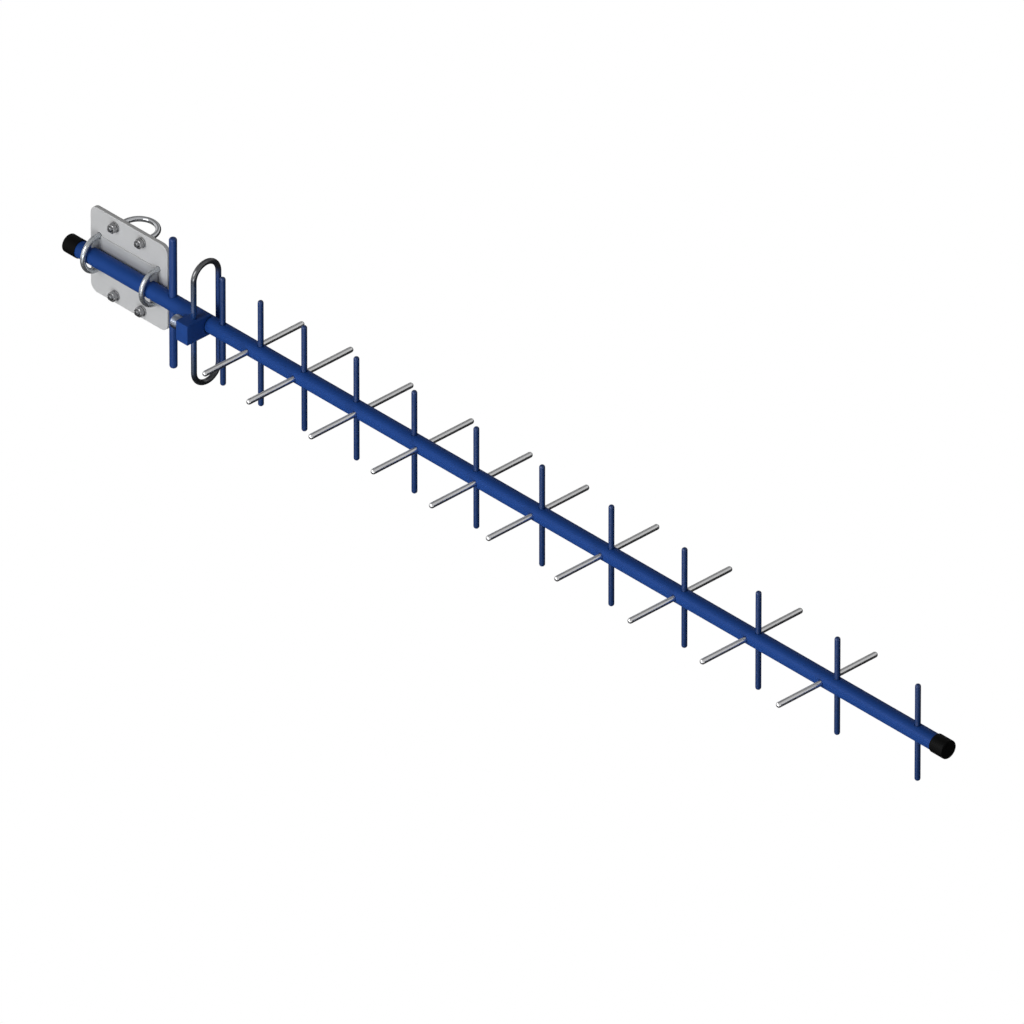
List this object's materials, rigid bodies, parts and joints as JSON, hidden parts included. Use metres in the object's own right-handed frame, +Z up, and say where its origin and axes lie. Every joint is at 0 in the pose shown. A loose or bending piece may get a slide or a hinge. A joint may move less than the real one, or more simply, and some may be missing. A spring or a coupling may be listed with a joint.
{
  "type": "directional cellular antenna",
  "caption": "Yagi antenna: round boom with upright directors, cross rods, reflector and folded dipole, a coaxial jack on its feed housing, and a U-bolt plate for a mast.",
  "frame": {"origin": "middle of the plate's back face, which bears on the mast", "axes": "+X along the boom towards the front, where the antenna points; +Y out of the plate's back face towards the mast; +Z up along the mast"},
  "size_m": [1.331, 0.151, 0.1616],
  "materials": {
    "boom_blue": "blue anodised, satin",
    "bright_rod": "bright drawn rod",
    "dipole_rod": "dark glossy coating",
    "housing_blue": "smooth moulding",
    "cap_black": "smooth moulding",
    "jack_metal": "nickel plated",
    "insulator_white": "turned",
    "contact_gold": "gold plated",
    "plate_metal": "satin",
    "bolt_steel": "stainless, bright"
  },
  "bodies": {
    "root": {"boom": "boom_blue", "front_end_cap": "cap_black", "rear_end_cap": "cap_black", "reflector": "boom_blue", "director_01": "boom_blue", "director_02": "boom_blue", "director_03": "boom_blue", "director_04": "boom_blue", "director_05": "boom_blue", "director_06": "boom_blue", "director_07": "boom_blue", "director_08": "boom_blue", "director_09": "boom_blue", "director_10": "boom_blue", "director_11": "boom_blue", "director_12": "boom_blue", "cross_rod_01": "bright_rod", "cross_rod_02": "bright_rod", "cross_rod_03": "bright_rod", "cross_rod_04": "bright_rod", "cross_rod_05": "bright_rod", "cross_rod_06": "bright_rod", "cross_rod_07": "bright_rod", "cross_rod_08": "bright_rod", "cross_rod_09": "bright_rod", "cross_rod_10": "bright_rod", "folded_dipole": "dipole_rod", "feed_housing": "housing_blue", "jack_shell": "jack_metal", "jack_insulator": "insulator_white", "jack_contact": "contact_gold", "mounting_plate": "plate_metal", "boom_cradle": "plate_metal", "boom_u_bolt_rear": "bolt_steel", "boom_u_bolt_front": "bolt_steel", "mast_u_bolt_upper": "bolt_steel", "mast_u_bolt_lower": "bolt_steel", "washer_rear_upper": "bolt_steel", "washer_rear_lower": "bolt_steel", "washer_front_upper": "bolt_steel", "washer_front_lower": "bolt_steel", "washer_mast_upper_rear": "bolt_steel", "washer_mast_upper_front": "bolt_steel", "washer_mast_lower_rear": "bolt_steel", "washer_mast_lower_front": "bolt_steel", "nut_rear_upper": "bolt_steel", "nut_rear_lower": "bolt_steel", "nut_front_upper": "bolt_steel", "nut_front_lower": "bolt_steel", "nut_mast_upper_rear": "bolt_steel", "nut_mast_upper_front": "bolt_steel", "nut_mast_lower_rear": "bolt_steel", "nut_mast_lower_front": "bolt_steel"}
  },
  "joints": []
}
